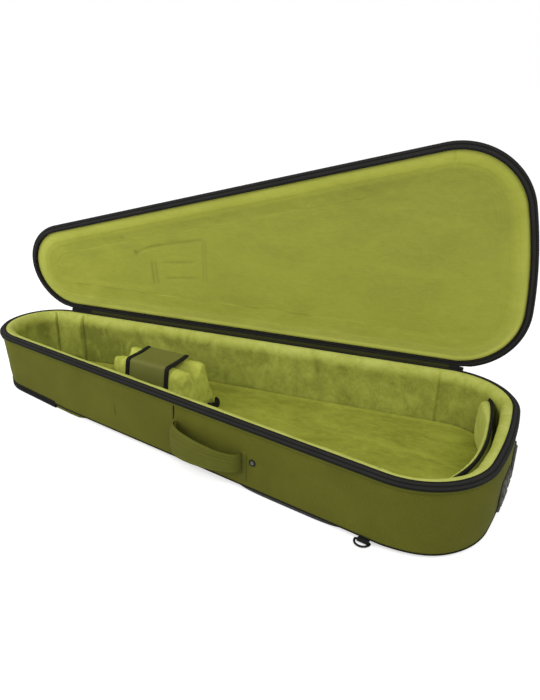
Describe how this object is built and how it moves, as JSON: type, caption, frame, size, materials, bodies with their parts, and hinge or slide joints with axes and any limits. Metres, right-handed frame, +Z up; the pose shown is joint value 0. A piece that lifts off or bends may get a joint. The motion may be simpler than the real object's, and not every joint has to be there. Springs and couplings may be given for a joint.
{
  "type": "acoustic guitar gig bag",
  "caption": "Padded olive gig bag for an acoustic guitar, lying open: zipped canvas base with plush lining, neck rest and tail divider, and a lid on a cloth hinge.",
  "frame": {"origin": "the middle of the body back pad's underside, on which the bag rests", "axes": "+X from the head end to the tail end, -Y towards the carry handle, +Y towards the lid's hinge, +Z up"},
  "size_m": [1.1536, 0.5032, 0.5841],
  "materials": {
    "olive_canvas": "woven polyester canvas, matte",
    "lime_plush": "short lime velour pile, matte",
    "olive_cloth": "smooth woven lining cloth",
    "black_webbing": "charcoal webbing and binding tape",
    "black_mesh": "spacer mesh, matte",
    "black_zip": "nylon zip coil",
    "grey_foam": "closed-cell foam padding",
    "fibre_board": "stiffener board, hidden",
    "dark_rubber": "moulded rubber, satin",
    "black_steel": "black plated metal"
  },
  "bodies": {
    "base": {"base_cover": "olive_canvas", "base_rim_piping": "olive_canvas", "back_pad_head": "olive_canvas", "handle_strap_head": "olive_canvas", "handle_strap_tail": "olive_canvas", "handle_tab_head": "olive_canvas", "handle_tab_tail": "olive_canvas", "base_lining": "lime_plush", "base_floor": "lime_plush", "neck_rest": "lime_plush", "tail_divider": "lime_plush", "hinge_gusset": "olive_cloth", "tail_divider_backing": "olive_cloth", "base_rim_binding": "black_webbing", "base_zip_tape": "black_webbing", "hinge_end_tab_head": "black_webbing", "hinge_end_tab_tail": "black_webbing", "d_ring_tab_front": "black_webbing", "d_ring_tab_back": "black_webbing", "neck_rest_loop": "black_webbing", "tail_divider_binding": "black_webbing", "back_pad_body": "black_mesh", "base_zip_coil": "black_zip", "base_wall_foam": "grey_foam", "base_board": "fibre_board", "head_guard": "dark_rubber", "traction_plate_front": "dark_rubber", "traction_plate_back": "dark_rubber", "zip_slider_head": "black_steel", "zip_slider_tail": "black_steel", "handle_stud": "black_steel"},
    "lid": {"lid_cover": "olive_canvas", "lid_rim_piping": "olive_canvas", "lid_lining": "lime_plush", "lid_rim_binding": "black_webbing", "lid_zip_tape": "black_webbing", "lid_zip_coil": "black_zip", "lid_foam": "grey_foam"},
    "handle": {"handle_grip": "olive_canvas"},
    "neck_strap": {"neck_strap": "olive_cloth", "neck_strap_binding_head": "black_webbing", "neck_strap_binding_tail": "black_webbing"},
    "d_ring_front": {"d_ring_front": "black_steel"},
    "d_ring_back": {"d_ring_back": "black_steel"},
    "zip_pull_head": {"zip_pull_head": "black_steel"},
    "zip_pull_tail": {"zip_pull_tail": "black_steel"}
  },
  "joints": [
    {"name": "lid_hinge", "type": "hinge", "parent": "base", "child": "lid", "pos_m": [-0.24058, 0.16923, 0.1305], "axis": [-0.9909, -0.135, 0], "range_deg": [-83.1, 96.9]},
    {"name": "handle_swing", "type": "hinge", "parent": "base", "child": "handle", "pos_m": [-0.16584, -0.17765, 0.078], "axis": [-0.9909, 0.135, 0], "range_deg": [0, 60]},
    {"name": "neck_strap_fold", "type": "hinge", "parent": "base", "child": "neck_strap", "pos_m": [-0.3925, 0.034, 0.1174], "axis": [-1, 0, 0], "range_deg": [0, 150]},
    {"name": "d_ring_front_swing", "type": "hinge", "parent": "base", "child": "d_ring_front", "pos_m": [0.14466, -0.21989, 0.005], "axis": [-0.9909, 0.135, 0], "range_deg": [0, 90]},
    {"name": "d_ring_back_swing", "type": "hinge", "parent": "base", "child": "d_ring_back", "pos_m": [0.14466, 0.21989, 0.005], "axis": [0.9909, 0.135, 0], "range_deg": [0, 90]},
    {"name": "zip_pull_head_swing", "type": "hinge", "parent": "base", "child": "zip_pull_head", "pos_m": [-0.76267, 0.0849, 0.1251], "axis": [0.7973, 0.6036, 0], "range_deg": [0, 75]},
    {"name": "zip_pull_tail_swing", "type": "hinge", "parent": "base", "child": "zip_pull_tail", "pos_m": [0.23145, 0.21799, 0.1251], "axis": [0.935, -0.3547, 0], "range_deg": [0, 75]}
  ]
}
